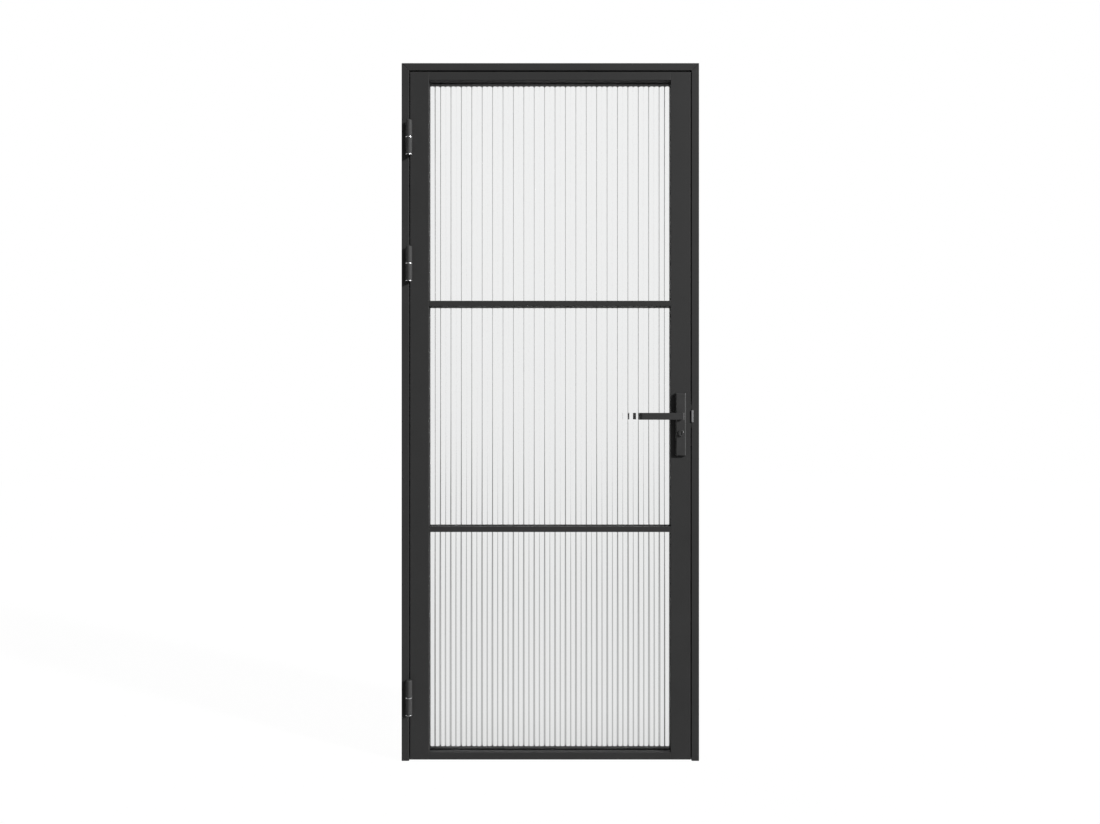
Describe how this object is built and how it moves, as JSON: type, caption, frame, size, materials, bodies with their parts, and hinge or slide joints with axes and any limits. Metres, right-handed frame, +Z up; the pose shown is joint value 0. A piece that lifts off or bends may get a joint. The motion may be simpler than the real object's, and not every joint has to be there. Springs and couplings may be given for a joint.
{
  "type": "glazed door with frame",
  "caption": "Slim black framed door leaf with fluted glass panes between glazing bars, hinged in its own frame, with a lever lock and a thumb turn.",
  "frame": {"origin": "on the floor, midway across the frame, in the middle plane of the leaf's thickness", "axes": "+X to the right seen from the side where the hinge barrels show, +Y back through the door, +Z up"},
  "size_m": [0.88, 0.142, 2.065],
  "materials": {
    "frame_black": "matte",
    "leaf_black": "matte",
    "hinge_black": "satin",
    "handle_black": "satin",
    "bright_steel": "polished",
    "zinc_plated": "satin",
    "black_rubber": "matte",
    "black_plastic": "matte",
    "fluted_glass": "polished"
  },
  "bodies": {
    "frame": {"hinge_jamb": "frame_black", "strike_jamb": "frame_black", "frame_head": "frame_black", "corner_keys": "zinc_plated", "hinge_jamb_seal": "black_rubber", "strike_jamb_seal": "black_rubber", "head_seal": "black_rubber", "strike_plate": "bright_steel", "strike_box": "black_plastic", "strike_screws": "zinc_plated", "low_hinge_frame_half": "hinge_black", "low_hinge_pin": "bright_steel", "low_hinge_washer": "bright_steel", "middle_hinge_frame_half": "hinge_black", "middle_hinge_pin": "bright_steel", "middle_hinge_washer": "bright_steel", "top_hinge_frame_half": "hinge_black", "top_hinge_pin": "bright_steel", "top_hinge_washer": "bright_steel", "hinge_frame_screws": "zinc_plated"},
    "lever": {"front_lever": "handle_black", "back_lever": "handle_black", "lever_spindle": "zinc_plated", "lock_follower": "zinc_plated"},
    "latch": {"latch_bolt": "bright_steel"},
    "turn": {"thumb_turn": "handle_black", "release_disc": "handle_black", "turn_spindle": "zinc_plated", "turn_cam": "zinc_plated"},
    "bolt": {"dead_bolt": "bright_steel"},
    "leaf": {"hinge_stile": "leaf_black", "lock_stile": "leaf_black", "top_rail": "leaf_black", "bottom_rail": "leaf_black", "upper_bar": "leaf_black", "lower_bar": "leaf_black", "bottom_beads": "leaf_black", "middle_beads": "leaf_black", "top_beads": "leaf_black", "lock_forend": "leaf_black", "low_hinge_leaf_half": "hinge_black", "middle_hinge_leaf_half": "hinge_black", "top_hinge_leaf_half": "hinge_black", "front_handle_plate": "handle_black", "back_handle_plate": "handle_black", "hinge_leaf_screws": "zinc_plated", "rail_cleats": "zinc_plated", "lock_case": "zinc_plated", "forend_screws": "zinc_plated", "plate_bolts": "zinc_plated", "bottom_seal": "black_rubber", "setting_blocks": "black_rubber", "bottom_gaskets": "black_rubber", "middle_gaskets": "black_rubber", "top_gaskets": "black_rubber", "stile_caps": "black_plastic", "bottom_pane": "fluted_glass", "middle_pane": "fluted_glass", "top_pane": "fluted_glass"}
  },
  "joints": [
    {"name": "leaf_swing", "type": "hinge", "parent": "frame", "child": "leaf", "pos_m": [-0.4165, -0.035, 1], "axis": [0, 0, -1], "range_deg": [0, 170]},
    {"name": "lever_turn", "type": "hinge", "parent": "leaf", "child": "lever", "pos_m": [0.385, 0, 1.02], "axis": [0, -1, 0], "range_deg": [0, 40], "stiffness_Nm_per_rad": 2, "springref_deg": -20.05},
    {"name": "latch_slide", "type": "slide", "parent": "leaf", "child": "latch", "axis": [-1, 0, 0], "range_m": [0, 0.01]},
    {"name": "thumb_turn_rotate", "type": "hinge", "parent": "leaf", "child": "turn", "pos_m": [0.385, 0, 0.97], "axis": [0, -1, 0], "range_deg": [0, 90]},
    {"name": "dead_bolt_slide", "type": "slide", "parent": "leaf", "child": "bolt", "axis": [1, 0, 0], "range_m": [0, 0.014]}
  ],
  "couplings": [
    {"joint": "latch_slide", "follows": "lever_turn", "m_per_rad": 0.01432},
    {"joint": "thumb_turn_rotate", "follows": "dead_bolt_slide", "rad_per_m": 112.19}
  ]
}
